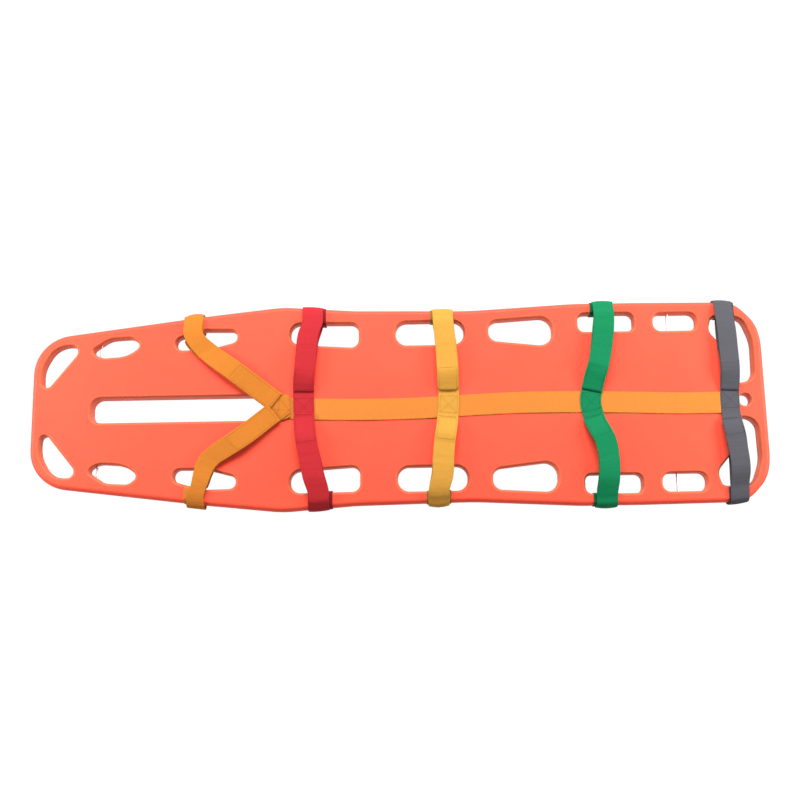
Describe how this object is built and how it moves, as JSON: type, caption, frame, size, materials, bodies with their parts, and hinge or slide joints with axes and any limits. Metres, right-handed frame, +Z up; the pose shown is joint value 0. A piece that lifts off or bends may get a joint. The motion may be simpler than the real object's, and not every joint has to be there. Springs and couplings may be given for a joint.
{
  "type": "spine board",
  "caption": "Rigid plastic patient board with hand holes along both edges, a long slot, and a hook-and-loop strap harness in coloured webbing.",
  "frame": {"origin": "on the floor below the middle of the board", "axes": "+X from the narrow end to the wide end, +Y to the side called left, +Z up"},
  "size_m": [1.83, 0.5207, 0.0749],
  "materials": {
    "board_plastic": "satin",
    "rigid_foam": "matte",
    "tube_aluminium": "satin",
    "pin_steel": "satin",
    "plug_plastic": "satin",
    "hook_tape": "matte",
    "orange_webbing": "matte",
    "yoke_loop_tape": "matte",
    "red_webbing": "matte",
    "chest_loop_tape": "matte",
    "yellow_webbing": "matte",
    "hip_loop_tape": "matte",
    "green_webbing": "matte",
    "thigh_loop_tape": "matte",
    "grey_webbing": "matte",
    "ankle_loop_tape": "matte"
  },
  "bodies": {
    "board": {"board_shell": "board_plastic", "foam_core": "rigid_foam", "stiffener_tube_left": "tube_aluminium", "stiffener_tube_right": "tube_aluminium", "clip_pin_head_left": "pin_steel", "clip_pin_head_right": "pin_steel", "clip_pin_foot_left": "pin_steel", "clip_pin_foot_right": "pin_steel", "fill_plug_head": "plug_plastic", "fill_plug_foot": "plug_plastic", "spine_strap": "orange_webbing", "yoke_strap_left": "orange_webbing", "yoke_strap_right": "orange_webbing", "chest_strap": "red_webbing", "hip_strap": "yellow_webbing", "thigh_strap": "green_webbing", "ankle_strap": "grey_webbing", "yoke_rail_turn_left": "orange_webbing", "yoke_rail_turn_right": "orange_webbing", "chest_rail_turn_left": "red_webbing", "chest_rail_turn_right": "red_webbing", "hip_rail_turn_left": "yellow_webbing", "hip_rail_turn_right": "yellow_webbing", "thigh_rail_turn_left": "green_webbing", "thigh_rail_turn_right": "green_webbing", "ankle_rail_turn_left": "grey_webbing", "ankle_rail_turn_right": "grey_webbing", "yoke_loop_patches": "yoke_loop_tape", "chest_loop_patches": "chest_loop_tape", "hip_loop_patches": "hip_loop_tape", "thigh_loop_patches": "thigh_loop_tape", "ankle_loop_patches": "ankle_loop_tape"},
    "yoke_flap_left": {"yoke_tail_left": "orange_webbing", "yoke_hook_patch_left": "hook_tape"},
    "yoke_flap_right": {"yoke_tail_right": "orange_webbing", "yoke_hook_patch_right": "hook_tape"},
    "chest_flap_left": {"chest_tail_left": "red_webbing", "chest_hook_patch_left": "hook_tape"},
    "chest_flap_right": {"chest_tail_right": "red_webbing", "chest_hook_patch_right": "hook_tape"},
    "hip_flap_left": {"hip_tail_left": "yellow_webbing", "hip_hook_patch_left": "hook_tape"},
    "hip_flap_right": {"hip_tail_right": "yellow_webbing", "hip_hook_patch_right": "hook_tape"},
    "thigh_flap_left": {"thigh_tail_left": "green_webbing", "thigh_hook_patch_left": "hook_tape"},
    "thigh_flap_right": {"thigh_tail_right": "green_webbing", "thigh_hook_patch_right": "hook_tape"},
    "ankle_flap_left": {"ankle_tail_left": "grey_webbing", "ankle_hook_patch_left": "hook_tape"},
    "ankle_flap_right": {"ankle_tail_right": "grey_webbing", "ankle_hook_patch_right": "hook_tape"}
  },
  "joints": [
    {"name": "yoke_peel_left", "type": "hinge", "parent": "board", "child": "yoke_flap_left", "pos_m": [-0.514, 0.22517, 0.0542], "axis": [-0.992, -0.1266, 0], "range_deg": [0, 150]},
    {"name": "yoke_peel_right", "type": "hinge", "parent": "board", "child": "yoke_flap_right", "pos_m": [-0.502, -0.2267, 0.0542], "axis": [0.992, -0.1266, 0], "range_deg": [0, 150]},
    {"name": "chest_peel_left", "type": "hinge", "parent": "board", "child": "chest_flap_left", "pos_m": [-0.213, 0.24444, 0.0542], "axis": [-0.9974, 0.072, 0], "range_deg": [0, 150]},
    {"name": "chest_peel_right", "type": "hinge", "parent": "board", "child": "chest_flap_right", "pos_m": [-0.1998, -0.24349, 0.0542], "axis": [0.9974, 0.072, 0], "range_deg": [0, 150]},
    {"name": "hip_peel_left", "type": "hinge", "parent": "board", "child": "hip_flap_left", "pos_m": [0.1148, 0.23312, 0.0542], "axis": [-0.9999, 0.0172, 0], "range_deg": [0, 150]},
    {"name": "hip_peel_right", "type": "hinge", "parent": "board", "child": "hip_flap_right", "pos_m": [0.0948, -0.23347, 0.0542], "axis": [0.9999, 0.0172, 0], "range_deg": [0, 150]},
    {"name": "thigh_peel_left", "type": "hinge", "parent": "board", "child": "thigh_flap_left", "pos_m": [0.5196, 0.246, 0.0542], "axis": [-1, 0, 0], "range_deg": [0, 150]},
    {"name": "thigh_peel_right", "type": "hinge", "parent": "board", "child": "thigh_flap_right", "pos_m": [0.5056, -0.246, 0.0542], "axis": [1, 0, 0], "range_deg": [0, 150]},
    {"name": "ankle_peel_left", "type": "hinge", "parent": "board", "child": "ankle_flap_left", "pos_m": [0.8218, 0.24335, 0.0542], "axis": [-0.9999, 0.0118, 0], "range_deg": [0, 150]},
    {"name": "ankle_peel_right", "type": "hinge", "parent": "board", "child": "ankle_flap_right", "pos_m": [0.8298, -0.24326, 0.0542], "axis": [0.9999, 0.0118, 0], "range_deg": [0, 150]}
  ]
}
